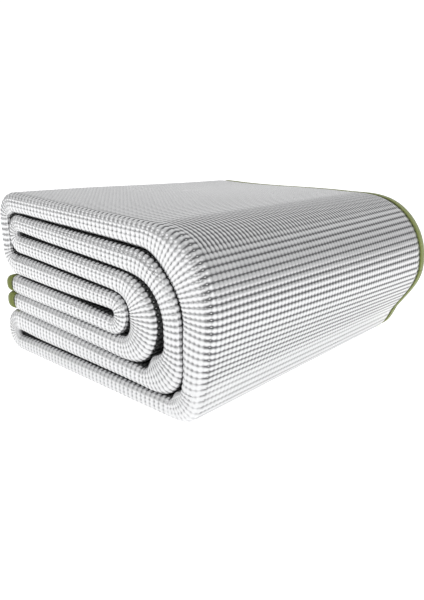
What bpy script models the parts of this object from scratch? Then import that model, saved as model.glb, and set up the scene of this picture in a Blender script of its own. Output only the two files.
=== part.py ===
"""Foil-faced foam sleeping pad, folded up for carrying.

The pad is one long foam sheet with an embossed aluminium film on its outer face and a woven tape
sewn round its edges. It is first folded in two along its length, so that it becomes a strip of two
plies with a fold on the -Y side and two bound edges on the +Y side. The strip is then folded into
eight layers. X runs along the layers, Y along the folds, Z up; the pack stands on the world origin.
"""
import math
from collections import namedtuple

import bmesh
import bpy

MM = 0.001

# Sheet
PACK_WIDTH = 300 * MM       # along Y: half of the pad's 0.6 m width
FILM = 0.3 * MM             # aluminium film, with its laminating layer
GAP = 0.3 * MM              # clearance between touching pieces
PLY = 7.6 * MM              # foam of one ply
FOLD_ROUND = 8.0 * MM       # depth of the rounded fold on the -Y side
FOLD_STEPS = 6
TAPE = 0.8 * MM             # edge binding tape
TAPE_LEG = 12.0 * MM        # width of the tape on each face
SEAM_DIP = 2.0 * MM         # how far the sewn tape presses the foam in, on each face
INNER_DIP = 1.6 * MM        # and from inside the slit
SEAM_RAMP = 3.0 * MM

# Strip: half of its thickness in the upper six layers and in the two that carry them
HALF = 8.6 * MM
HALF_LOW = 7.4 * MM
HALF_TIP = 7.3 * MM         # where the end binding presses it
MIN_SLIT = 0.4 * MM         # least half distance between the two plies

# How far the outer wall swells beyond its half thickness, at the fold side and at the bound side
SWELL_NEAR = 4.0 * MM
SWELL_FAR = 22.0 * MM

# Folding: distances in the XZ plane, measured from the middle of the first right-hand turn's column
BOX_MIDDLE = 13.7 * MM      # x of the pack's middle in the folding plan
ARC_STEP = math.radians(22.5)
Bend = namedtuple("Bend", "name x z radius turn half_in half_mid half_out")
BENDS = [
    Bend("turn_4_5", 32.0 * MM, 66.0 * MM, 9.3 * MM, 1, 7.2 * MM, 7.6 * MM, 7.2 * MM),
    Bend("wrap_low", -101.0 * MM, 97.8 * MM, 15.0 * MM, -1, HALF, 7.0 * MM, 6.0 * MM),
    Bend("wrap_high", -101.0 * MM, 124.2 * MM, 15.0 * MM, -1, 6.0 * MM, 7.0 * MM, HALF),
    Bend("outer_shoulder", 73.0 * MM, 87.6 * MM, 43.8 * MM, -1, HALF, 12.6 * MM, 15.0 * MM),
    Bend("outer_heel", 102.0 * MM, 17.0 * MM, 9.6 * MM, -1, 8.0 * MM, 7.8 * MM, HALF_LOW),
    Bend("turn_7_8", -108.0 * MM, 16.1 * MM, 8.7 * MM, -1, HALF_LOW, 7.0 * MM, HALF_LOW),
    Bend("inner_heel", 65.0 * MM, 49.6 * MM, 26.4 * MM, 1, HALF_LOW, HALF, 9.1 * MM),
    Bend("inner_shoulder", 65.0 * MM, 84.0 * MM, 26.4 * MM, 1, 9.1 * MM, 9.1 * MM, HALF),
    Bend("turn_2_3", -92.5 * MM, 112.2 * MM, 9.0 * MM, 1, HALF, 6.2 * MM, HALF),
    Bend("turn_3_6", 41.0 * MM, 66.3 * MM, 26.0 * MM, -1, HALF, 14.6 * MM, HALF),
]
END_X = -114.5 * MM         # both ends of the strip, one above the other on the left
END_A_Z = 61.0 * MM
END_B_Z = 43.0 * MM
TIP_LENGTH = 12.5 * MM      # stretch pressed thin by the end binding
WEB_INSET = 0.1 * MM        # how far the web that closes it lies inside its rim
RUN_NAMES = ["layer_5", "layer_4", "wrap_side", "layer_1", "outer_wall", "layer_8", "layer_7",
             "inner_wall", "layer_2", "layer_3", "layer_6"]

# Hinge axes, along Y, in the folding plan
SHOULDER_AXIS = (98.0 * MM, 113.0 * MM)
HEEL_AXIS = (106.0 * MM, 14.0 * MM)

Y_NEAR = -PACK_WIDTH / 2
Y_FAR = PACK_WIDTH / 2
Y_SHEET = Y_FAR - TAPE - GAP            # edge of foam and film, inside the tape
Y_SEAM = Y_FAR - TAPE_LEG - 1.0 * MM    # where the pressed stretch begins
FOAM_INSET = FILM + GAP
SLIT_INSET = FOAM_INSET + PLY
SWELL_BASE = 7.4 * MM                   # height where the outer wall's swelling starts
SWELL_TOP = 131.4 * MM                  # and where it ends

Station = namedtuple("Station", "x z nx nz half swell")


# ---------------------------------------------------------------- folding plan

def tangent_run(start, end):
    """Straight run that leaves one bend and enters the next, with its left normal."""
    dx, dz = end.x - start.x, end.z - start.z
    lean = (end.turn * end.radius - start.turn * start.radius) / math.hypot(dx, dz)
    angle = math.atan2(dz, dx) + math.acos(lean)
    nx, nz = math.cos(angle), math.sin(angle)
    leave = (start.x - start.turn * start.radius * nx, start.z - start.turn * start.radius * nz)
    enter = (end.x - end.turn * end.radius * nx, end.z - end.turn * end.radius * nz)
    return leave, enter, (nx, nz)


def swell_at(z):
    """Share of the outer wall's swelling at a height: none at its foot and its top, all midway."""
    share = (z - SWELL_BASE) / (SWELL_TOP - SWELL_BASE)
    return math.sin(math.pi * min(max(share, 0.0), 1.0))


def station(x, z, nx, nz, half, swells):
    return Station(x - BOX_MIDDLE, z, nx, nz, half, swell_at(z) if swells else 0.0)


def ease(share):
    return (1 - math.cos(math.pi * share)) / 2


def bend_stations(bend, enter, leave):
    """Stations round a bend, whose half thickness passes through three values."""
    a0 = math.atan2(enter[1] - bend.z, enter[0] - bend.x)
    a1 = math.atan2(leave[1] - bend.z, leave[0] - bend.x)
    sweep = (bend.turn * (a1 - a0)) % (2 * math.pi)
    steps = max(2, round(sweep / ARC_STEP))
    swells = bend.name in ("outer_shoulder", "outer_heel")
    stations = []
    for k in range(steps + 1):
        share = k / steps
        if share <= 0.5:
            half = bend.half_in + (bend.half_mid - bend.half_in) * ease(2 * share)
        else:
            half = bend.half_mid + (bend.half_out - bend.half_mid) * ease(2 * share - 1)
        a = a0 + bend.turn * sweep * share
        ux, uz = math.cos(a), math.sin(a)
        stations.append(station(bend.x + bend.radius * ux, bend.z + bend.radius * uz,
                                -bend.turn * ux, -bend.turn * uz, half, swells))
    return stations


def folding_plan():
    """Every run and bend of the strip in order, as lists of stations."""
    tip_a = Bend("tip_a", END_X, END_A_Z, 0.0, 1, HALF, HALF, HALF)
    tip_b = Bend("tip_b", END_X, END_B_Z, 0.0, 1, HALF, HALF, HALF)
    stops = [tip_a] + BENDS + [tip_b]
    runs = [tangent_run(a, b) for a, b in zip(stops, stops[1:])]
    plan = {}
    for k, name in enumerate(RUN_NAMES):
        leave, enter, (nx, nz) = runs[k]
        swells = name == "outer_wall"
        plan[name] = [station(*leave, nx, nz, stops[k].half_out, swells),
                      station(*enter, nx, nz, stops[k + 1].half_in, swells)]
        if swells:
            plan[name] = between(plan[name], 4)
        if k < len(BENDS):
            plan[BENDS[k].name] = bend_stations(BENDS[k], enter, runs[k + 1][0])
    plan["layer_5"] = pressed_tip(plan["layer_5"])
    plan["layer_6"] = pressed_tip(plan["layer_6"][::-1])[::-1]
    return plan


def between(stations, count):
    """The same run with its stations evenly spread, each with its own swelling."""
    a, b = stations
    spread = []
    for k in range(count + 1):
        s = k / count
        x, z, nx, nz, half = (a[i] + (b[i] - a[i]) * s for i in range(5))
        spread.append(Station(x, z, nx, nz, half, swell_at(z)))
    return spread


def along(stations, distance):
    """The first station moved along its run towards the next one."""
    a, b = stations[:2]
    share = distance / math.hypot(b.x - a.x, b.z - a.z)
    return a._replace(x=a.x + (b.x - a.x) * share, z=a.z + (b.z - a.z) * share)


def pressed_tip(stations):
    """A run whose first stretch is pressed thin, and starts just inside its end binding."""
    tip = along(stations, TAPE + GAP)._replace(half=HALF_TIP)
    waist = along(stations, TIP_LENGTH)._replace(half=HALF_TIP)
    shoulder = along(stations, TIP_LENGTH + SEAM_RAMP)
    return [tip, waist, shoulder] + stations[1:]


def trimmed(stations):
    """Shortened by half a gap at each end, so that neighbours don't touch."""
    first = along(stations, GAP / 2)
    last = along(stations[::-1], GAP / 2)
    return [first] + stations[1:-1] + [last]


def chain(plan, names):
    """Several runs and bends joined end to end, without doubled stations."""
    stations = list(plan[names[0]])
    for name in names[1:]:
        stations += plan[name][1:]
    return stations


# ---------------------------------------------------------------- sections across the strip

def reach(st, y, side, inset, least=0.0):
    """Signed distance of a surface from the strip's middle, on its left (+1) or right (-1)."""
    half = st.half
    if side > 0:
        half += st.swell * (SWELL_NEAR + (SWELL_FAR - SWELL_NEAR) * (y / PACK_WIDTH + 0.5))
    return side * max(least, half - inset)


def hairpin(st, inset, y_far=Y_SHEET, seam=True):
    """Line under the outer face: in from the far edge, round the near fold, and back out."""
    leg = [(y_far, inset)]
    if seam:
        leg = [(Y_SHEET, inset + SEAM_DIP), (Y_SEAM, inset + SEAM_DIP), (Y_SEAM - SEAM_RAMP, inset)]
    line = [(y, reach(st, y, 1, depth)) for y, depth in leg]
    for k in range(FOLD_STEPS + 1):
        turn = math.pi / 2 - math.pi * k / FOLD_STEPS
        y = Y_NEAR + FOLD_ROUND - (FOLD_ROUND - inset) * math.cos(turn)
        side = 1 if turn > 0 else -1
        line.append((y, reach(st, y, side, inset) * abs(math.sin(turn))))
    line += [(y, reach(st, y, -1, depth)) for y, depth in reversed(leg)]
    return line


def film_section(st):
    return hairpin(st, 0.0) + hairpin(st, FILM)[::-1]


def foam_section(st):
    """Two plies joined at the near fold, with the slit between them open at the far side."""
    slit = [(Y_SHEET, SLIT_INSET - INNER_DIP, MIN_SLIT + INNER_DIP),
            (Y_SEAM, SLIT_INSET - INNER_DIP, MIN_SLIT + INNER_DIP),
            (Y_SEAM - SEAM_RAMP, SLIT_INSET, MIN_SLIT),
            (Y_NEAR + FOLD_ROUND + 1.0 * MM, SLIT_INSET, MIN_SLIT)]
    lower = [(y, reach(st, y, -1, inset, least)) for y, inset, least in slit]
    upper = [(y, reach(st, y, 1, inset, least)) for y, inset, least in slit]
    return hairpin(st, FOAM_INSET) + lower + upper[::-1]


def tape_section(side):
    """Channel folded over one ply's far edge: outer leg, web and inner leg."""
    outer, outer_in = SEAM_DIP - GAP - TAPE, SEAM_DIP - GAP
    inner_in = SLIT_INSET - INNER_DIP + GAP
    inner = inner_in + TAPE
    least_in = MIN_SLIT + INNER_DIP - GAP
    least = least_in - TAPE
    y_leg = Y_FAR - TAPE_LEG
    y_web = Y_FAR - TAPE

    def section(st):
        corners = [(y_leg, outer, 0.0), (Y_FAR, outer, 0.0), (Y_FAR, inner, least),
                   (y_leg, inner, least), (y_leg, inner_in, least_in), (y_web, inner_in, least_in),
                   (y_web, outer_in, 0.0), (y_leg, outer_in, 0.0)]
        return [(y, reach(st, y, side, inset, floor)) for y, inset, floor in corners]
    return section


def end_tape_section(st):
    """Shell of the end binding: it follows the folded end and stops short of the long tapes."""
    y_far = Y_SEAM - SEAM_RAMP - GAP
    outer = hairpin(st, -(GAP + TAPE), y_far, seam=False)
    inner = hairpin(st, -GAP, y_far, seam=False)
    return outer + inner[::-1]


def end_plate_section(st):
    """Closed outline of the end binding's web, inside the shell's thickness."""
    return hairpin(st, -(GAP + TAPE / 2), Y_SEAM - SEAM_RAMP - 2 * GAP, seam=False)


# ---------------------------------------------------------------- solids

def add_band(bm, a1, a2, b1, b2):
    """Two triangles between two rings. Their diagonal always rises along Y, so that nested pieces
    whose faces are twisted by the swelling stay parallel."""
    if a1.co.y <= a2.co.y:
        bm.faces.new((a1, a2, b2))
        bm.faces.new((a1, b2, b1))
    else:
        bm.faces.new((a1, a2, b1))
        bm.faces.new((a2, b2, b1))


def swept_mesh(name, stations, section, origin):
    """Loft of one section through all stations, closed by a face at each end."""
    bm = bmesh.new()
    rings = []
    for st in stations:
        ring = [bm.verts.new((st.x + st.nx * n - origin[0], y - origin[1], st.z + st.nz * n - origin[2]))
                for y, n in section(st)]
        rings.append(ring)
    for ring_a, ring_b in zip(rings, rings[1:]):
        for k in range(len(ring_a)):
            add_band(bm, ring_a[k - 1], ring_a[k], ring_b[k - 1], ring_b[k])
    bm.faces.new(rings[0][::-1])
    bm.faces.new(rings[-1])
    bmesh.ops.recalc_face_normals(bm, faces=bm.faces)
    mesh = bpy.data.meshes.new(name)
    bm.to_mesh(mesh)
    bm.free()
    mesh.shade_smooth()
    mesh.set_sharp_from_angle(angle=math.radians(40))
    return mesh


def add_piece(name, stations, section, material, parent, collection):
    """One swept sub-part, in the frame of its body's empty."""
    origin = hinge_place(parent)
    mesh = swept_mesh(name, stations, section, origin)
    mesh.materials.append(material)
    piece = bpy.data.objects.new(name, mesh)
    piece.parent = parent
    collection.objects.link(piece)
    return piece


def hinge_place(empty):
    """World position of a body's empty: its own location added to its parents'."""
    place = [0.0, 0.0, 0.0]
    while empty is not None:
        place = [p + q for p, q in zip(place, empty.location)]
        empty = empty.parent
    return place


def add_empty(name, x, z, parent, collection):
    empty = bpy.data.objects.new(name, None)
    base = hinge_place(parent)
    empty.parent = parent
    empty.location = (x - base[0], 0.0, z - base[2])
    empty.empty_display_size = 0.03
    collection.objects.link(empty)
    return empty


def pressed_stretch(stations, start, end):
    """The part of a run between two distances from its start, pressed thin."""
    return [along(stations, distance)._replace(half=HALF_TIP) for distance in (start, end)]


def add_end_binding(name, stations, material, parent, collection, cutters):
    """Tape over one end of the strip: a shell round the fold, joined to the web that closes it."""
    shell_path = pressed_stretch(stations, 0.0, TIP_LENGTH)
    web_path = pressed_stretch(stations, WEB_INSET, TAPE)
    shell = add_piece(name, shell_path, end_tape_section, material, parent, collection)
    web = add_piece(name + "_web_cutter", web_path, end_plate_section, material, parent, cutters)
    web.hide_render = True
    web.display_type = "WIRE"
    join = shell.modifiers.new("join_web", "BOOLEAN")
    join.operation = "UNION"
    join.solver = "EXACT"
    join.object = web
    return shell


def make_material(name, color, roughness, metallic):
    material = bpy.data.materials.new(name)
    material.use_nodes = True
    shader = material.node_tree.nodes["Principled BSDF"]
    shader.inputs["Base Color"].default_value = (*color, 1.0)
    shader.inputs["Roughness"].default_value = roughness
    shader.inputs["Metallic"].default_value = metallic
    return material


# ---------------------------------------------------------------- the pad

# Each stretch of the sheet that stays in one piece when the pack is opened: body, parts of the plan
STRETCHES = {
    "core": ("stack", ["layer_5", "turn_4_5", "layer_4", "wrap_low", "wrap_side", "wrap_high", "layer_1"]),
    "outer_shoulder": ("wall", ["outer_shoulder"]),
    "outer_wall": ("wall", ["outer_wall"]),
    "outer_heel": ("flap", ["outer_heel"]),
    "flap": ("flap", ["layer_8", "turn_7_8", "layer_7"]),
    "inner_heel": ("flap", ["inner_heel"]),
    "inner_wall": ("wall", ["inner_wall"]),
    "inner_shoulder": ("wall", ["inner_shoulder"]),
    "nest": ("stack", ["layer_2", "turn_2_3", "layer_3", "turn_3_6", "layer_6"]),
}


def new_collection(name):
    collection = bpy.data.collections.new(name)
    bpy.context.scene.collection.children.link(collection)
    return collection


def build():
    for old in list(bpy.data.objects):
        bpy.data.objects.remove(old, do_unlink=True)
    pad = new_collection("foam_sleeping_pad")
    cutters = new_collection("cutters")
    foam = make_material("foam", (0.86, 0.87, 0.86), 0.75, 0.0)
    film = make_material("foil", (0.78, 0.79, 0.80), 0.32, 0.9)
    tape = make_material("binding", (0.22, 0.26, 0.07), 0.8, 0.0)

    stack = add_empty("stack_body", 0.0, 0.0, None, pad)
    wall = add_empty("wall_hinge", SHOULDER_AXIS[0] - BOX_MIDDLE, SHOULDER_AXIS[1], stack, pad)
    flap = add_empty("flap_hinge", HEEL_AXIS[0] - BOX_MIDDLE, HEEL_AXIS[1], wall, pad)
    bodies = {"stack": stack, "wall": wall, "flap": flap}

    plan = folding_plan()
    for stretch, (body, names) in STRETCHES.items():
        parent = bodies[body]
        path = trimmed(chain(plan, names))
        add_piece("film_" + stretch, path, film_section, film, parent, pad)
        add_piece("tape_left_" + stretch, path, tape_section(1), tape, parent, pad)
        add_piece("tape_right_" + stretch, path, tape_section(-1), tape, parent, pad)
        for name in names:
            add_piece("foam_" + name, trimmed(plan[name]), foam_section, foam, parent, pad)
    add_end_binding("end_tape_upper", end_run(plan["layer_5"], END_A_Z), tape, stack, pad, cutters)
    add_end_binding("end_tape_lower", end_run(plan["layer_6"][::-1], END_B_Z), tape, stack, pad, cutters)


def end_run(stations, z):
    """A layer's run taken back to the very end of the strip."""
    tip = stations[0]._replace(x=END_X - BOX_MIDDLE, z=z)
    return [tip, stations[-1]]


build()
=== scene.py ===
"""Looks of the folded foil-faced foam sleeping pad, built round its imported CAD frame.

The pad is a sheet of foam with an embossed aluminium film on its outer face and a woven tape round its
edges. It is folded in two along its length, so each layer is two plies with a rounded fold on the -Y
side, and the doubled strip is folded into eight layers. Every surface here is swept along that strip:
U runs along the strip, V across it, from the fold (0) to the bound edges of the left (+) and the right
(-) ply.
"""
import math
from collections import namedtuple

import bpy
import numpy as np
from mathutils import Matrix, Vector


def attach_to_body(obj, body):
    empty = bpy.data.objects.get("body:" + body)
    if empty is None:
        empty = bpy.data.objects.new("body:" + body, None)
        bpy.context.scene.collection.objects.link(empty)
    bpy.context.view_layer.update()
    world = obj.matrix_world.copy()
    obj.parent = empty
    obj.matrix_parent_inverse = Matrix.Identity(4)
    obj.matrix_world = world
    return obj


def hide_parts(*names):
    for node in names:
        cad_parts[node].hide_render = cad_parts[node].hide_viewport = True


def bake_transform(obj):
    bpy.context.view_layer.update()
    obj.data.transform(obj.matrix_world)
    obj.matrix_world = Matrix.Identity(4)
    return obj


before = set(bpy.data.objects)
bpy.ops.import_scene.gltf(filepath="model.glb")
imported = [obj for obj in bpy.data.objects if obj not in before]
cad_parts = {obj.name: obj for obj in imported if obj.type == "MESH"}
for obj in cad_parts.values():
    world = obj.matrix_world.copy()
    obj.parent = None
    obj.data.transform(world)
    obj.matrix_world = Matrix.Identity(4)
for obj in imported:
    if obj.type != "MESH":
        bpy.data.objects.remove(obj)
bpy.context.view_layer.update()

MM = 0.001

# ---------------------------------------------------------------- folding plan, in millimetres
HALF = 8.6                  # half of a layer's thickness, which is one ply
HALF_LOW = 7.4              # the same in the two lowest layers, which the pack's weight presses
HALF_TIP = 6.5              # the same under the end bindings
BOX_MIDDLE = 13.7           # taken off X, so that the pack stands centred
Y_NEAR = -150.0             # the side with the lengthwise fold
Y_FAR = 150.0               # the side with the two bound edges
TAPE_LEG = 12.0             # how far the binding reaches onto a ply's inner face
OUTER_LEG = TAPE_LEG - 3    # and onto its outer face
Y_SHEET = Y_FAR - 1.1       # where foam and film end, inside the binding
WIDTH = Y_SHEET - Y_NEAR
NOSE = 6.5                  # depth of the rounded fold
NOSE_SWELL = 9.5            # added to it where the outer wall swells
NOSE_POWER = 0.70           # below 1 squares the fold off
SWELL_NEAR = 4.0            # how far the outer wall's left ply swells out at the near fold
SWELL_FAR = 23.0            # and at the bound side
SWELL_BASE = 7.4            # height at which that swelling starts
SWELL_TOP = 131.4           # and at which it ends
PLY = 7.6                   # thickness of the foam in one ply
SEAM_DIP = 2.0              # how far a ply's outer face is pressed in along the binding
SEAM_AHEAD = 5.0            # how far before the binding that dip starts
SEAM_FADE = 7.0             # and how far it takes to reach its full depth
END_X = -118.5              # X of the strip's two ends, before BOX_MIDDLE is taken off
TIP_LENGTH = 9.0            # how much of the strip the end bindings cover
TIP_FADE = 6.0              # how far the strip takes to reach its full thickness beyond them

Bend = namedtuple("Bend", "name x z radius turn half_in half_mid half_out")
BENDS = [
    Bend("tip_a", END_X, 64.2, 0.0, 1, HALF, HALF, HALF),
    Bend("turn_4_5", 32.0, 66.0, 9.8, 1, 7.2, 7.4, 7.2),
    Bend("wrap_low", -101.0, 97.8, 15.0, -1, HALF, 7.0, 6.0),
    Bend("wrap_high", -101.0, 124.2, 15.0, -1, 6.0, 7.0, HALF),
    Bend("outer_shoulder", 66.1, 77.9, 53.5, -1, HALF, 14.6, 12.1),
    Bend("outer_heel", 92.6, 28.4, 21.0, -1, 6.8, 11.2, HALF_LOW),
    Bend("turn_7_8", -107.0, 18.6, 11.2, -1, HALF_LOW, 9.5, 10.3),
    Bend("inner_heel", 65.0, 55.0, 32.0, 1, HALF_LOW, 14.0, 8.8),
    Bend("inner_shoulder", 53.5, 66.3, 43.5, 1, 8.8, 8.8, HALF),
    Bend("turn_2_3", -92.5, 112.2, 9.0, 1, 7.4, 6.2, 7.4),
    Bend("turn_3_6", 41.0, 66.3, 26.0, -1, HALF, 14.6, HALF),
    Bend("tip_b", END_X, 48.6, 0.0, 1, HALF, HALF, HALF),
]
RUNS = ["layer_5", "layer_4", "wrap_side", "layer_1", "outer_wall", "layer_8", "layer_7",
        "inner_wall", "layer_2", "layer_3", "layer_6"]
SWELLING = ("outer_shoulder", "outer_wall", "outer_heel")
STEP = 0.5                  # spacing of the plan's own samples


def tangent_run(start, end):
    """Common tangent of two bends: where it leaves one, where it enters the next, its left normal."""
    dx, dz = end.x - start.x, end.z - start.z
    lean = (end.turn * end.radius - start.turn * start.radius) / math.hypot(dx, dz)
    angle = math.atan2(dz, dx) + math.acos(lean)
    nx, nz = math.cos(angle), math.sin(angle)
    leave = (start.x - start.turn * start.radius * nx, start.z - start.turn * start.radius * nz)
    enter = (end.x - end.turn * end.radius * nx, end.z - end.turn * end.radius * nz)
    return leave, enter, (nx, nz)


def ease(share):
    """Smooth step from 0 to 1, level at both ends."""
    return (1 - np.cos(np.pi * np.clip(share, 0, 1))) / 2


def run_rows(leave, enter, normal, half_a, half_b):
    """Samples of a straight run: x, z, nx, nz, half of its thickness, and 0 because it doesn't turn."""
    length = math.hypot(enter[0] - leave[0], enter[1] - leave[1])
    s = np.linspace(0, 1, max(2, int(length / STEP)))
    rows = [leave[0] + (enter[0] - leave[0]) * s, leave[1] + (enter[1] - leave[1]) * s]
    rows += [np.full(len(s), normal[0]), np.full(len(s), normal[1])]
    rows.append(half_a + (half_b - half_a) * ease(s))
    return np.array(rows + [np.zeros(len(s))])


def bend_rows(bend, enter, leave):
    """Samples of a bend, as run_rows gives them, with 1 or -1 for the way it turns."""
    a0 = math.atan2(enter[1] - bend.z, enter[0] - bend.x)
    a1 = math.atan2(leave[1] - bend.z, leave[0] - bend.x)
    sweep = (bend.turn * (a1 - a0)) % (2 * math.pi)
    s = np.linspace(0, 1, max(9, int(sweep * bend.radius / STEP)))
    a = a0 + bend.turn * sweep * s
    half = np.where(s < 0.5, bend.half_in + (bend.half_mid - bend.half_in) * ease(2 * s),
                    bend.half_mid + (bend.half_out - bend.half_mid) * ease(2 * s - 1))
    ux, uz = np.cos(a), np.sin(a)
    return np.array([bend.x + bend.radius * ux, bend.z + bend.radius * uz, -bend.turn * ux,
                     -bend.turn * uz, half, np.full(len(s), float(bend.turn))])


def folding_plan():
    """The whole strip as columns x, z, nx, nz, half, swell, U, and each part's stretch of U.
    U is measured on the outside of every bend, where the film is taut."""
    parts, spans, u = [], {}, 0.0
    tangents = [tangent_run(a, b) for a, b in zip(BENDS, BENDS[1:])]
    for k, name in enumerate(RUNS):
        pieces = [(name, run_rows(*tangents[k], BENDS[k].half_out, BENDS[k + 1].half_in))]
        if k + 2 < len(BENDS):
            bend = BENDS[k + 1]
            pieces.append((bend.name, bend_rows(bend, tangents[k][1], tangents[k + 1][0])))
        for part, rows in pieces:
            x, z, nx, nz, half, turn = rows
            swell = np.zeros(len(x))
            if part in SWELLING:
                swell = np.sin(np.pi * np.clip((z - SWELL_BASE) / (SWELL_TOP - SWELL_BASE), 0, 1))
            reach = -turn * (half + SWELL_NEAR * swell)
            ox, oz = x + nx * reach, z + nz * reach
            grow = np.concatenate([[0], np.cumsum(np.hypot(np.diff(ox), np.diff(oz)))])
            parts.append(np.array([x - BOX_MIDDLE, z, nx, nz, half, swell, u + grow]))
            spans[part] = (u, u + grow[-1])
            u += grow[-1]
    return np.concatenate(parts, axis=1), spans


PLAN, SPAN = folding_plan()
U_END = PLAN[6, -1]
PUFF_MOST = 2.3             # most that the foam swells into the space beside it, at the near fold
FREE = 9.0                  # a crack this wide is no crack: nothing lies against that face
PUFF_GAP = 0.75             # half of the crack that stays open
PUFF_STEP = 3.0             # spacing of the swelling's samples along the strip
PUFF_SMOOTH = 7             # how many of them are averaged, an odd number
PUFF_SLACK = 0.3            # most that the averaging may add
PUFF_FROM = 8.0             # distance from the near fold at which the swelling starts to fade
PUFF_FADE = 40.0            # and how far it takes to fade
PUFF_LOST = 0.75            # share of it that fades
OWN_STRETCH = 12.0          # along the strip, anything nearer than this is no other layer
# stretches whose crack stays wide open: part, side, first and last share of the part, fading length
OPEN_CRACKS = [
    ("turn_4_5", 1.0, 0.0, 1.0, 60.0),
    ("turn_4_5", -1.0, 0.05, 0.40, 5.0),
    ("turn_3_6", -1.0, 0.55, 0.90, 5.0),
    ("turn_3_6", 1.0, 0.15, 0.60, 14.0),
    ("inner_shoulder", 1.0, 0.0, 0.70, 14.0),
    ("inner_wall", 1.0, 0.0, 1.0, 8.0),
    ("inner_heel", 1.0, 0.7, 1.0, 14.0),
    ("turn_2_3", 1.0, 0.0, 1.0, 45.0),
    ("turn_7_8", -1.0, 0.0, 1.0, 35.0),
]


def crack_width(u, side):
    """Free distance from the strip's face to the next layer, straight out from each U."""
    x, z, nx, nz, half = (np.interp(u, PLAN[6], PLAN[k]) for k in range(5))
    step = slice(None, None, 2)
    cx, cz, ch, cu = PLAN[0][step], PLAN[1][step], PLAN[4][step], PLAN[6][step]
    width = np.full(len(u), FREE)
    for i in range(len(u)):
        dx, dz = cx - x[i], cz - z[i]
        ahead = side * (dx * nx[i] + dz * nz[i])
        aside = dz * nx[i] - dx * nz[i]
        crossing = (aside[1:] * aside[:-1] <= 0) & (ahead[1:] > half[i])
        crossing &= np.abs(cu[1:] - u[i]) > OWN_STRETCH
        if crossing.any():
            width[i] = min(FREE, (ahead[1:] - ch[1:])[crossing].min() - half[i])
    return width


def puff_table():
    """How far each face of the strip may swell, at samples along U, smoothed along the strip."""
    u = np.arange(0, U_END + PUFF_STEP, PUFF_STEP)
    table = []
    for side in (-1.0, 1.0):
        width = crack_width(u, side)
        puff = np.where(width < FREE, np.clip(width / 2 - PUFF_GAP, 0, PUFF_MOST), 0)
        for name, open_side, first, last, fade in OPEN_CRACKS:
            if side == open_side:
                a, b = SPAN[name]
                off = np.maximum(a + (b - a) * first - u, u - a - (b - a) * last)
                puff *= np.clip(off / fade, 0, 1)
        padded = np.pad(puff, PUFF_SMOOTH // 2, mode="edge")
        smooth = np.convolve(padded, np.ones(PUFF_SMOOTH) / PUFF_SMOOTH, mode="valid")
        table.append(np.minimum(smooth, puff + PUFF_SLACK))
    return u, table


PUFF_U, PUFF = puff_table()


def stations(u):
    """x, z, nx, nz, half, swell of the strip at each U."""
    x, z, nx, nz, half, swell = (np.interp(u, PLAN[6], PLAN[k]) for k in range(6))
    size = np.hypot(nx, nz)
    from_tip = np.minimum(u, U_END - u)
    half = HALF_TIP + (half - HALF_TIP) * ease((from_tip - TIP_LENGTH + 2) / TIP_FADE)
    return x, z, nx / size, nz / size, half, swell


# ---------------------------------------------------------------- surfaces across the strip
PITCH_U = 4.9               # embossed grid, along the strip
PITCH_V = 4.0               # and across it
V_NOSE = 3.5 * PITCH_V      # half of the near fold's girth
V_END = V_NOSE + WIDTH - NOSE
V_FOLD = 10 * PITCH_V       # the near fold and the first stretch of both plies
DENSE = (-0.5, -0.4, -0.22, 0.0, 0.22, 0.4)     # lines of the mesh in each cell of the grid, as shares
MIDDLE = (-0.5, -0.33, 0.0, 0.33)
COARSE = (-0.5, -0.2, 0.2)
LINE_GAP = 0.15             # least distance of such a line from the mesh's rim
EMBOSS = 0.80               # depth of the pits
PIT_DEPTH = 0.50            # share of EMBOSS in the pits themselves
CROSS_GROOVE = 0.50         # in the grooves across the strip
LONG_GROOVE = 0.22          # in those along it
LONG_GROOVE_OVER = 0.5      # added to those round the outer shoulder
EDGE_V = V_NOSE - 1.0       # where the near fold turns over into the layer's outer face
EDGE_HALF = 2.8             # half of the width over which the film gathers there
EDGE_RIBS = 0.45            # depth of those ribs, as a share of EMBOSS
FINE_CREASE = 0.10          # height of the film's own unevenness


def grid_lines(a, b, pitch, offsets):
    """Lines from a to b, placed the same way in every cell of the embossed grid."""
    cells = np.arange(math.floor(a / pitch) - 1, math.ceil(b / pitch) + 2)
    lines = ((cells[:, None] + np.array(offsets)[None, :]) * pitch).ravel()
    lines = lines[(lines > a + LINE_GAP) & (lines < b - LINE_GAP)]
    return np.concatenate([[a], lines, [b]])


def nose_curve(depth, high):
    """Quarter of a squared-off ellipse, from the tip of the near fold to its flank, as depth, height
    and length along it, with its unit tangents."""
    theta = np.linspace(0.0, np.pi / 2, 49)
    y = depth * (1 - np.cos(theta) ** NOSE_POWER)
    n = high * np.sin(theta) ** NOSE_POWER
    girth = np.concatenate([[0], np.cumsum(np.hypot(np.diff(y), np.diff(n)))])
    ty, tn = np.gradient(y, girth), np.gradient(n, girth)
    ty[0], tn[0], ty[-1], tn[-1] = 0.0, 1.0, 1.0, 0.0
    return y, n, girth, ty, tn


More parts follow.
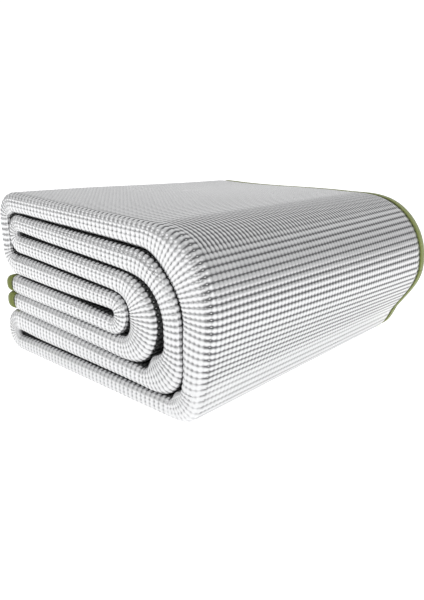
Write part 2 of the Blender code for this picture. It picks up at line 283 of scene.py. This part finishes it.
def section(u, v, inset):
    """Points of a surface that lies inset below the outer face: x, y, z and outward normals, one row
    for each U and one column for each V."""
    x, z, nx, nz, half, swell = stations(u)
    ys, ns, ty, tn = (np.empty((len(u), len(v))) for _ in range(4))
    puffs = [np.interp(u, PUFF_U, side_puff) for side_puff in PUFF]
    sides = [(s, cols) for s, cols in ((-1.0, v < 0), (1.0, v >= 0)) if cols.any()]
    for row in range(len(u)):
        for s, cols in sides:
            w = np.abs(v[cols])
            out = swell[row] if s > 0 else 0.0
            depth = NOSE + NOSE_SWELL * out
            puff = puffs[0 if s < 0 else 1][row] * (1 - out)
            high = half[row] + SWELL_NEAR * out + puff
            curve_y, curve_n, girth, curve_ty, curve_tn = nose_curve(depth, high)
            past = V_NOSE + (girth[-1] - V_NOSE) * out
            at = w * girth[-1] / past
            on_nose = w < past
            y = np.where(on_nose, np.interp(at, girth, curve_y),
                         depth + (w - past) * (WIDTH - depth) / (V_END - past))
            n = np.where(on_nose, np.interp(at, girth, curve_n), high)
            n = n + np.maximum(y - depth, 0) * out * (SWELL_FAR - SWELL_NEAR) / WIDTH
            n -= PUFF_LOST * puff * ease((y - PUFF_FROM) / PUFF_FADE)
            ys[row, cols] = y
            ns[row, cols] = s * (n - SEAM_DIP * ease((y - (WIDTH - TAPE_LEG - SEAM_AHEAD)) / SEAM_FADE))
            ty[row, cols] = np.where(on_nose, np.interp(at, girth, curve_ty), 1.0)
            tn[row, cols] = np.where(on_nose, np.interp(at, girth, curve_tn), 0.0)
    size = np.hypot(ty, tn)
    out_y, out_n = -tn / size, ty / size * np.where(v < 0, -1.0, 1.0)[None, :]
    ys = ys + Y_NEAR - out_y * inset
    ns = ns - out_n * inset
    points = np.stack([x[:, None] + nx[:, None] * ns, ys, z[:, None] + nz[:, None] * ns], axis=-1)
    normals = np.stack([nx[:, None] * out_n, out_y, nz[:, None] * out_n], axis=-1)
    return points, normals


def emboss(u, v):
    """Height of the embossed film, and a painted shade from 0 to 1 that darkens the foil's colour in
    its pits, grooves and gathered ribs, for shade and dark reflections there: a square grid of pits
    joined by grooves.
    Round the outer shoulder the grooves along the strip are the stronger ones, elsewhere those across
    it, and where the film turns over the near fold's outward edge it gathers into separate ribs. The
    painted shade is lighter on the fold itself and round the outer heel."""
    cu = np.abs(np.cos(np.pi * u / PITCH_U))[:, None] ** 0.8
    cv = np.abs(np.cos(np.pi * v / PITCH_V))[None, :] ** 0.8
    a, b = SPAN["outer_shoulder"]
    over = (ease((u - a - 4) / 12) * ease((a + 0.55 * (b - a) - u) / 16))[:, None]
    over = over * ease((np.abs(v) - V_NOSE - 2) / 5)[None, :]
    dash = (1 - cu) * (1 - cv ** 2.2)
    across = (1 - cu) * (1 - 0.8 * over)
    along = (1 - cv) * (LONG_GROOVE + LONG_GROOVE_OVER * over)
    nx, nz = np.interp(u, PLAN[6], PLAN[2]), np.interp(u, PLAN[6], PLAN[3])
    outward = (0.8 * nz + 0.6 * nx)[:, None] * np.sign(v)[None, :]
    gather = ease(0.35 + 0.9 * outward) * np.exp(-((np.abs(v) - EDGE_V) / EDGE_HALF) ** 2)[None, :]
    deep = PIT_DEPTH * dash + CROSS_GROOVE * across + along + EDGE_RIBS * gather * (1 - cu)
    # Painted shade in the pits, grooves and gathered ribs, lighter on the fold itself
    on_fold = 1 - 0.55 * ease((V_NOSE + 1 - np.abs(v)) / 5)[None, :]
    painted_shade = (0.55 * dash + 0.75 * across ** 1.3 + (0.9 + 0.8 * over) * along) * on_fold
    painted_shade += 0.85 * gather * (1 - cu)
    # Less painted shade round the outer heel and the bottom of the outer wall
    heel_from, heel_to = SPAN["outer_wall"][1] - 16, SPAN["outer_heel"][1] + 6
    heel_shade_fade = ease((u - heel_from) / 18) * ease((heel_to - u) / 6)
    return -EMBOSS * deep, np.clip(painted_shade, 0, 1) * (1 - 0.45 * heel_shade_fade)[:, None]


def wander(points, seed, size, amount):
    """Gentle unevenness in millimetres, a sum of a few waves of about the given size."""
    rng = np.random.default_rng(seed)
    total = np.zeros(points.shape[:-1])
    for _ in range(6):
        wave = rng.normal(size=3) / size
        total += np.sin(points @ wave + rng.uniform(0, 2 * np.pi))
    return amount * total / 6


SAG = 0.034                 # share of its height that the pack loses at its far left corner
PACK_HEIGHT = 147.0


def settle(points):
    """The pack's own slack, the same for every piece: its far left corner lies lower."""
    x, y, z = points[..., 0], points[..., 1], points[..., 2]
    back = ease((y - Y_NEAR) / WIDTH)
    left = ease((60 - x) / 150)
    low = SAG * back * left * np.clip(z / PACK_HEIGHT, 0, 1)
    out = points.copy()
    out[..., 2] = z * (1 - low)
    return out


# ---------------------------------------------------------------- meshes
def grid_mesh(name, points, wrap_v=False, caps=False):
    """A mesh object from a grid of points in millimetres. wrap_v closes its columns into a ring, and
    caps close its first and last rows."""
    rows, cols = points.shape[:2]
    index = np.arange(rows * cols).reshape(rows, cols)
    if wrap_v:
        index = np.concatenate([index, index[:, :1]], axis=1)
    corners = [index[:-1, :-1], index[:-1, 1:], index[1:, 1:], index[1:, :-1]]
    quads = np.stack(corners, axis=-1).reshape(-1, 4)
    mesh = bpy.data.meshes.new(name)
    vertices = settle(points.reshape(-1, 3)) * MM
    faces = quads.tolist()
    if caps:
        faces += [index[0, :cols][::-1].tolist(), index[-1, :cols].tolist()]
    mesh.from_pydata(vertices.tolist(), [], faces)
    mesh.update()
    obj = bpy.data.objects.new(name, mesh)
    bpy.context.scene.collection.objects.link(obj)
    mesh.shade_smooth()
    return obj


# ---------------------------------------------------------------- materials
def new_material(name):
    mat = bpy.data.materials.new(name)
    mat.use_nodes = True
    return mat, mat.node_tree, mat.node_tree.nodes["Principled BSDF"]


def node(tree, kind, **values):
    item = tree.nodes.new(kind)
    for key, value in values.items():
        if hasattr(item, key):
            setattr(item, key, value)
        else:
            item.inputs[key.replace("_", " ")].default_value = value
    return item


def map_range(tree, value, start, stop, low=0.0, high=1.0, **kind):
    """A value's stretch from start to stop, laid over low to high."""
    item = node(tree, "ShaderNodeMapRange", **kind)
    for key, number in (("From Min", start), ("From Max", stop), ("To Min", low), ("To Max", high)):
        item.inputs[key].default_value = number
    tree.links.new(value, item.inputs["Value"])
    return item.outputs["Result"]


def mix(tree, factor, first, second):
    """Two colours mixed by a factor. Either can be a fixed colour or another node's output."""
    item = node(tree, "ShaderNodeMix", data_type="RGBA")
    tree.links.new(factor, item.inputs["Factor"])
    for socket, colour in ((item.inputs[6], first), (item.inputs[7], second)):
        if isinstance(colour, tuple):
            socket.default_value = colour
        else:
            tree.links.new(colour, socket)
    return item.outputs[2]


def textured(tree, *textures):
    """Lays textures out in the object's own coordinates."""
    place = node(tree, "ShaderNodeTexCoord")
    for texture in textures:
        tree.links.new(place.outputs["Object"], texture.inputs["Vector"])


def add_bump(tree, shader, height, strength, distance):
    bump = node(tree, "ShaderNodeBump", Strength=strength, Distance=distance)
    tree.links.new(height, bump.inputs["Height"])
    tree.links.new(bump.outputs["Normal"], shader.inputs["Normal"])


def foil_material():
    """Aluminised film: bright on the bumps, with painted shade making its colour duller and darker down
    in the pits, finely creased.
    """
    mat, tree, shader = new_material("embossed_foil")
    shader.inputs["Metallic"].default_value = 0.95
    painted_pit_shade = node(tree, "ShaderNodeAttribute", attribute_name="painted_pit_shade")
    cloud = node(tree, "ShaderNodeTexNoise", Scale=38.0, Detail=4.0)
    fine = node(tree, "ShaderNodeTexNoise", Scale=700.0, Detail=2.0)
    textured(tree, cloud, fine)
    rough = map_range(tree, cloud.outputs["Fac"], 0.3, 0.7, 0.27, 0.37)
    tree.links.new(rough, shader.inputs["Roughness"])
    tint = mix(tree, cloud.outputs["Fac"], (0.70, 0.705, 0.71, 1), (0.82, 0.82, 0.825, 1))
    # Painted shade: the colour goes towards near-black with the painted pit shade, for the shade and
    # dark reflections in pits and grooves
    depth = map_range(tree, painted_pit_shade.outputs["Fac"], 0.08, 0.75)
    painted_shade = mix(tree, depth, tint, (0.15, 0.15, 0.155, 1))
    tree.links.new(painted_shade, shader.inputs["Base Color"])
    add_bump(tree, shader, fine.outputs["Fac"], 0.10, 0.0002)
    return mat


def foam_material():
    """Closed-cell foam: off-white, matt and faintly pitted."""
    mat, tree, shader = new_material("closed_cell_foam")
    shader.inputs["Specular IOR Level"].default_value = 0.3
    shader.inputs["Sheen Weight"].default_value = 0.15
    cells = node(tree, "ShaderNodeTexVoronoi", feature="F1", Scale=900.0)
    cloud = node(tree, "ShaderNodeTexNoise", Scale=30.0, Detail=5.0)
    textured(tree, cells, cloud)
    ramp = node(tree, "ShaderNodeValToRGB")
    for stop, position, colour in ((0, 0.3, (0.72, 0.73, 0.72, 1)), (1, 0.75, (0.86, 0.86, 0.85, 1))):
        ramp.color_ramp.elements[stop].position = position
        ramp.color_ramp.elements[stop].color = colour
    tree.links.new(cloud.outputs["Fac"], ramp.inputs["Fac"])
    tree.links.new(ramp.outputs["Color"], shader.inputs["Base Color"])
    rough = map_range(tree, cloud.outputs["Fac"], 0.0, 1.0, 0.62, 0.85)
    tree.links.new(rough, shader.inputs["Roughness"])
    add_bump(tree, shader, cells.outputs["Distance"], 0.35, 0.0003)
    return mat


def tape_material():
    """Woven binding tape: olive, matt, with fine ribs along all three axes."""
    mat, tree, shader = new_material("woven_binding")
    shader.inputs["Specular IOR Level"].default_value = 0.25
    shader.inputs["Sheen Weight"].default_value = 0.5
    shader.inputs["Sheen Roughness"].default_value = 0.4
    shader.inputs["Roughness"].default_value = 0.75
    cloud = node(tree, "ShaderNodeTexNoise", Scale=60.0, Detail=6.0)
    waves = []
    for direction in ("X", "Y", "Z"):
        wave = node(tree, "ShaderNodeTexWave", wave_type="BANDS", bands_direction=direction,
                    Scale=260.0, Distortion=0.6)
        wave.inputs["Detail Scale"].default_value = 2.0
        waves.append(wave)
    textured(tree, cloud, *waves)
    weave = waves[0].outputs["Fac"]
    for wave in waves[1:]:
        total = node(tree, "ShaderNodeMath", operation="ADD")
        tree.links.new(weave, total.inputs[0])
        tree.links.new(wave.outputs["Fac"], total.inputs[1])
        weave = total.outputs[0]
    tint = mix(tree, cloud.outputs["Fac"], (0.155, 0.185, 0.045, 1), (0.275, 0.315, 0.095, 1))
    tree.links.new(tint, shader.inputs["Base Color"])
    add_bump(tree, shader, weave, 0.5, 0.0003)
    return mat


FOIL, FOAM, TAPE_MAT = foil_material(), foam_material(), tape_material()

# ---------------------------------------------------------------- pieces
# Each stretch of the pad: its body or the two bodies that it bends between, its first and last parts
STRETCHES = {
    "core": ("stack", "layer_5", "layer_1"),
    "outer_shoulder": (("stack", "wall"), "outer_shoulder", "outer_shoulder"),
    "outer_wall": ("wall", "outer_wall", "outer_wall"),
    "outer_heel": (("wall", "flap"), "outer_heel", "outer_heel"),
    "flap": ("flap", "layer_8", "layer_7"),
    "inner_heel": (("flap", "wall"), "inner_heel", "inner_heel"),
    "inner_wall": ("wall", "inner_wall", "inner_wall"),
    "inner_shoulder": (("wall", "stack"), "inner_shoulder", "inner_shoulder"),
    "nest": ("stack", "layer_2", "layer_6"),
}
TAPE_INSET = 0.9            # how far the very ends of film and foam lie inside the end bindings


def span(first, last):
    """First and last U of a stretch, kept inside the end bindings."""
    a, b = SPAN[first][0], SPAN[last][1]
    return max(a, TAPE_INSET), min(b, U_END - TAPE_INSET)


def attach(obj, bodies, u0, u1):
    """Lets a piece ride on its body. A piece that joins two bodies is attached to neither and does not
    bend: its ends are worked out and left unused, and its transform is baked into its mesh.
    """
    if isinstance(bodies, str):
        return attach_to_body(obj, bodies)
    ends = []
    for u in (u0, u1):
        x, z = (float(np.interp(u, PLAN[6], PLAN[k])) for k in (0, 1))
        ends.append(np.array([x, 0.0, z]))
    direction = (ends[1] - ends[0]) / np.linalg.norm(ends[1] - ends[0])
    for end, u, pick in ((ends[0], u0, np.max), (ends[1], u1, np.min)):
        points, _ = section(np.array([u]), np.linspace(-V_END, V_END, 61), 0.0)
        end + direction * pick((points.reshape(-1, 3) - end) @ direction)
    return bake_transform(obj)


def finish_piece(obj, material, slot, bodies, u0, u1):
    """Gives a piece its material and hands it to attach with its bodies, U0 and U1; it does not bend.
    The slot is not used.
    """
    obj.data.materials.append(material)
    attach(obj, bodies, u0, u1)
    return obj


def film_length(a, b, v):
    """Length of a stretch of film along the strip, at one place across it. On the inside of a fold it
    is shorter than the strip, because the film there is crumpled."""
    line, _ = section(np.linspace(a, b, 300), np.array([v]), 0.0)
    return float(np.linalg.norm(np.diff(line[:, 0], axis=0), axis=1).sum())


def film_piece(name, bodies, whole, u_range, v_range, offsets_u, offsets_v):
    """One stretch of embossed film, as an open sheet. Across the strip it is finest near the fold."""
    u = grid_lines(*u_range, PITCH_U, offsets_u)
    v = grid_lines(*v_range, PITCH_V, offsets_v)
    if v_range == (-V_END, V_END):
        far = grid_lines(V_FOLD, V_END, PITCH_V, COARSE)[1:]
        v = np.concatenate([-far[::-1], grid_lines(-V_FOLD, V_FOLD, PITCH_V, DENSE), far])
    points, normals = section(u, v, 0.0)
    fade = 1 - 0.7 * ease((np.abs(v) - (V_END - TAPE_LEG)) / 6)     # flatter under the binding
    height, painted_pit_shade = emboss(u, v)
    height = height * fade[None, :] + wander(points, seed=7, size=9.0, amount=FINE_CREASE)
    obj = grid_mesh(name, points + normals * height[..., None])
    # Painted pit shade, read by the foil material to darken its colour
    store = obj.data.attributes.new("painted_pit_shade", "FLOAT", "POINT")
    store.data.foreach_set("value", (painted_pit_shade * fade[None, :]).ravel().astype(np.float32))
    finish_piece(obj, FOIL, "foil", bodies, *whole)
    flat = ((v_range[1] - v_range[0]) * MM, film_length(*u_range, (v_range[0] + v_range[1]) / 2) * MM)
    return obj, flat


FOAM_INSET = 0.9            # how far the foam's skin lies below the film
SLIT_NEAR = 0.4             # half of the gap between the two plies next to the near fold
SLIT_MORE = 0.9             # added to it at the bound side
INNER_FROM = V_NOSE + 2     # where across the strip that gap starts
INNER_SKIN = 0.6            # how much deeper than PLY a ply's inner face lies under its outer face


def foam_piece(name, bodies, whole):
    """Both plies of one stretch: one closed body, rounded at the near fold and slit at the far side."""
    u = np.linspace(*whole, max(3, int((whole[1] - whole[0]) / 4) + 1))
    v_line = np.concatenate([np.linspace(0, V_NOSE, 7)[:-1], np.linspace(V_NOSE, V_END, 24)])
    v = np.concatenate([v_line[::-1], -v_line[1:]])
    outer, _ = section(u, v, FOAM_INSET)
    inner_v = v_line[v_line > INNER_FROM]
    x, z, nx, nz = stations(u)[:4]
    edge, _ = section(u, np.concatenate([inner_v[::-1], -inner_v]), 0.0)
    middle = np.stack([x, np.zeros(len(x)), z], axis=-1)[:, None, :]
    normal = np.stack([nx, np.zeros(len(x)), nz], axis=-1)[:, None, :]
    depth = ((edge - middle) * normal).sum(axis=-1)
    open_up = SLIT_NEAR + SLIT_MORE * ease((edge[..., 1] - 60) / 90)
    ply_in = np.sign(depth) * np.maximum(np.abs(depth) - PLY - INNER_SKIN, open_up)
    slit = edge + normal * (ply_in - depth)[..., None]
    slit += normal * wander(slit, seed=3, size=11.0, amount=0.25)[..., None]
    ring = np.concatenate([outer, slit[:, ::-1]], axis=1)
    obj = grid_mesh(name, ring, wrap_v=True, caps=True)
    finish_piece(obj, FOAM, "foam", bodies, *whole)
    return obj


TAPE_SINK = 1.2             # how far the binding's inner leg is pressed into the ply
TAPE_CLEAR = 1.6            # least distance of that leg from the strip's middle


def tape_profile():
    """Closed outline of the channel over one ply's edge, as (depth from the far edge, how far across
    the ply, outward offset); across runs from 0 on the film to 1 on the inner face."""
    outer = [(OUTER_LEG, 0.0, 0.15), (OUTER_LEG, 0.0, 0.85), (OUTER_LEG - 2, 0.0, 1.0),
             (5.0, 0.0, 1.15), (2.6, 0.0, 1.1)]
    arc = [(1.3 - 1.3 * math.sin(a), 0.5 - 0.5 * math.cos(a), 1.0 * math.cos(a))
           for a in np.linspace(0.35, math.pi - 0.35, 7)]
    inner = [(2.6, 1.0, -1.1), (6.0, 1.0, -1.1), (TAPE_LEG, 1.0, -0.95), (TAPE_LEG, 1.0, -0.15)]
    back = [(2.0, 1.0, -0.1), (1.6, 0.5, 0.0), (2.0, 0.0, 0.1)]
    return outer + arc + inner + back


def tape_piece(name, side, bodies, whole):
    """Woven tape folded over the far edge of one ply. The rims of its legs wander a little."""
    u = np.linspace(*whole, max(3, int((whole[1] - whole[0]) / 2.4) + 1))
    x, z, nx, nz = stations(u)[:4]
    normal = np.stack([nx, np.zeros(len(x)), nz], axis=-1)
    middle = np.stack([x, np.zeros(len(x)), z], axis=-1)
    wave = 0.25 * np.sin(u * 0.9) + 0.2 * np.sin(u * 0.37 + side)
    columns = []
    for depth, across, lift in tape_profile():
        y = Y_FAR - depth
        v = np.array([side * (V_END - (Y_SHEET - min(y, Y_SHEET)))])
        face, _ = section(u, v, 0.0)
        out = ((face[:, 0] - middle) * normal).sum(axis=-1) * side
        ply_in = np.maximum(out - PLY + TAPE_SINK, TAPE_CLEAR)
        n = out + (ply_in - out) * across + lift
        column = middle + normal * (side * n)[:, None]
        column[:, 1] = y + (wave if depth >= OUTER_LEG else 0.0)
        columns.append(column)
    ring = np.stack(columns, axis=1)
    if side < 0:
        ring = ring[:, ::-1]
    obj = grid_mesh(name, ring, wrap_v=True, caps=True)
    return finish_piece(obj, TAPE_MAT, "binding", bodies, *whole)


def build_stretch(stretch, bodies, first, last):
    """The film, foam and tapes of one stretch. The film is cut into zones so that the mesh is fine only
    where it shows."""
    whole = span(first, last)
    film, tapes = [], []
    zones = [("fold", whole, (-V_FOLD, V_FOLD), DENSE, DENSE),
             ("right", whole, (-V_END, -V_FOLD), COARSE, COARSE)]
    if stretch in ("outer_heel", "inner_heel", "inner_wall", "inner_shoulder"):
        zones = [("whole", whole, (-V_END, V_END), DENSE, DENSE)]
    elif stretch == "core":
        a, b, c = SPAN["layer_4"][1], SPAN["layer_1"][0], whole[1]
        zones.append(("left_inside", (whole[0], a), (V_FOLD, V_END), COARSE, COARSE))
        zones.append(("left_wrap", (a, b), (V_FOLD, V_END), DENSE, DENSE))
        zones.append(("left_top", (b, c), (V_FOLD, V_END), DENSE, DENSE))
    elif stretch.startswith("outer"):
        zones.append(("left", whole, (V_FOLD, V_END), DENSE, DENSE))
    elif stretch == "flap":
        a = SPAN["turn_7_8"][1]
        zones.append(("left_under", (whole[0], a), (V_FOLD, V_END), MIDDLE, MIDDLE))
        zones.append(("left_over", (a, whole[1]), (V_FOLD, V_END), COARSE, COARSE))
    else:
        zones.append(("left", whole, (V_FOLD, V_END), COARSE, COARSE))
    for zone, u_range, v_range, per_u, per_v in zones:
        film.append(film_piece(f"film_{stretch}_{zone}", bodies, whole, u_range, v_range, per_u, per_v))
    foam = foam_piece("foam_" + stretch, bodies, whole)
    for word, side in (("left", 1), ("right", -1)):
        tapes.append(tape_piece(f"tape_{word}_{stretch}", side, bodies, whole))
    names = list(SPAN)
    foam_nodes = ["foam_" + part for part in names[names.index(first):names.index(last) + 1]]
    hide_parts("film_" + stretch)
    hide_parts(*foam_nodes)
    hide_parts("tape_left_" + stretch)
    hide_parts("tape_right_" + stretch)


# outline of the end binding: distance from the strip's end, and height over the film
END_PROFILE = [(TIP_LENGTH, 0.2), (TIP_LENGTH, 0.9), (TIP_LENGTH - 2, 1.1), (7.0, 1.2), (3.0, 1.1),
               (1.2, 0.6), (0.2, -0.9), (-0.6, -2.8), (-0.9, -4.6)]
END_SAMPLE = 2.0            # distance from the end at which the strip's outline is taken
OVER_SIDE_TAPE = 1.35       # how much higher the end binding lies on the side tapes
END_PINCH = 0.05            # share of its height that is left in the middle of the end face


def end_binding(name, u_tip, inward, node_name):
    """Tape folded over the doubled end of the strip, thicker where it lies on the side tapes."""
    v_line = np.concatenate([np.linspace(0, V_NOSE, 9)[:-1], np.linspace(V_NOSE, V_END - 0.5, 54)])
    v = np.concatenate([v_line[::-1], -v_line[1:]])
    rings = []
    over_side_tape = OVER_SIDE_TAPE * ease((np.abs(v) - (V_END - TAPE_LEG - 1)) / 4)
    for distance, lift in END_PROFILE:
        points, normals = section(np.array([u_tip + inward * END_SAMPLE]), v, -lift)
        ring = points[0] + normals[0] * over_side_tape[:, None]
        ring[:, 0] = END_X - BOX_MIDDLE + distance
        rings.append(ring)
    middle = rings[-1].copy()
    plane = float(np.interp(u_tip, PLAN[6], PLAN[1]))
    middle[:, 2] = plane + (middle[:, 2] - plane) * END_PINCH
    middle[:, 0] += 0.4
    rings.append(middle)
    obj = grid_mesh(name, np.stack(rings))
    finish_piece(obj, TAPE_MAT, "binding", "stack", 0, 0)
    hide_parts(node_name)
    solid = obj.modifiers.new("thickness", "SOLIDIFY")
    solid.thickness = 0.6 * MM
    solid.offset = 1.0


for stretch, (bodies, first, last) in STRETCHES.items():
    build_stretch(stretch, bodies, first, last)
end_binding("end_tape_upper_cover", 0.0, 1, "end_tape_upper")
end_binding("end_tape_lower_cover", U_END, -1, "end_tape_lower")

# ---------------------------------------------------------------- studio
scene = bpy.context.scene
scene.view_settings.view_transform = "Standard"
FLOOR_Z = -0.0005           # level with the lowest point of the pack, in metres
FLOOR_HALF = 12.0           # half of the floor's side
CAMERA_DOWN = 16.4          # degrees that the camera looks down
CAMERA_ROUND = 41.8         # degrees that it stands round to the right


def add_floor():
    """A large pale floor, which glows a little as white paper does under soft light."""
    mesh = bpy.data.meshes.new("studio_floor")
    corners = [(-1, -1), (1, -1), (1, 1), (-1, 1)]
    vertices = [(x * FLOOR_HALF, y * FLOOR_HALF, FLOOR_Z) for x, y in corners]
    mesh.from_pydata(vertices, [], [(0, 1, 2, 3)])
    floor = bpy.data.objects.new("studio_floor", mesh)
    scene.collection.objects.link(floor)
    mat, tree, shader = new_material("pale_floor")
    shader.inputs["Base Color"].default_value = (0.93, 0.93, 0.93, 1)
    shader.inputs["Roughness"].default_value = 0.9
    shader.inputs["Emission Color"].default_value = (1, 1, 1, 1)
    shader.inputs["Emission Strength"].default_value = 0.62
    mesh.materials.append(mat)


def add_area(name, place, target, size, power):
    light = bpy.data.lights.new(name, "AREA")
    light.shape = "RECTANGLE"
    light.size, light.size_y = size
    light.energy = power
    obj = bpy.data.objects.new(name, light)
    scene.collection.objects.link(obj)
    obj.location = place
    obj.rotation_euler = (Vector(target) - Vector(place)).to_track_quat("-Z", "Y").to_euler()


def add_world():
    """Soft surroundings: white round the horizon, greyer overhead and towards the back right, and
    darkest in front, where the camera stands."""
    world = bpy.data.worlds.new("studio")
    world.use_nodes = True
    scene.world = world
    tree = world.node_tree
    place = node(tree, "ShaderNodeTexCoord")
    split = node(tree, "ShaderNodeSeparateXYZ")
    tree.links.new(place.outputs["Generated"], split.inputs[0])
    up = map_range(tree, split.outputs["Z"], 0.16, 0.62, interpolation_type="SMOOTHSTEP")
    colour = mix(tree, up, (1.08, 1.08, 1.08, 1), (0.84, 0.84, 0.843, 1))
    for direction, start, stop, shade in (((0.78, 0.62, 0.08), 0.35, 0.9, (0.66, 0.66, 0.663, 1)),
                                          ((-0.40, -0.92, 0.0), 0.2, 0.8, (0.34, 0.34, 0.343, 1))):
        toward = node(tree, "ShaderNodeVectorMath", operation="DOT_PRODUCT")
        toward.inputs[1].default_value = direction
        tree.links.new(place.outputs["Generated"], toward.inputs[0])
        side = map_range(tree, toward.outputs["Value"], start, stop, interpolation_type="SMOOTHSTEP")
        colour = mix(tree, side, colour, shade)
    tree.links.new(colour, tree.nodes["Background"].inputs["Color"])


def add_camera():
    data = bpy.data.cameras.new("camera")
    data.sensor_width = 36
    data.lens = 33.5
    camera = bpy.data.objects.new("camera", data)
    camera.location = (0.3572 - BOX_MIDDLE * MM, -0.397, 0.195)
    camera.rotation_euler = (math.radians(90 - CAMERA_DOWN), 0, math.radians(CAMERA_ROUND))
    scene.collection.objects.link(camera)
    scene.camera = camera


add_floor()
add_world()
add_area("key", (-0.7, -1.6, 1.1), (0, 0, 0.07), (1.4, 1.0), 5)
add_area("fill", (1.8, -0.4, 0.8), (0, 0, 0.07), (1.2, 1.2), 3)
add_camera()
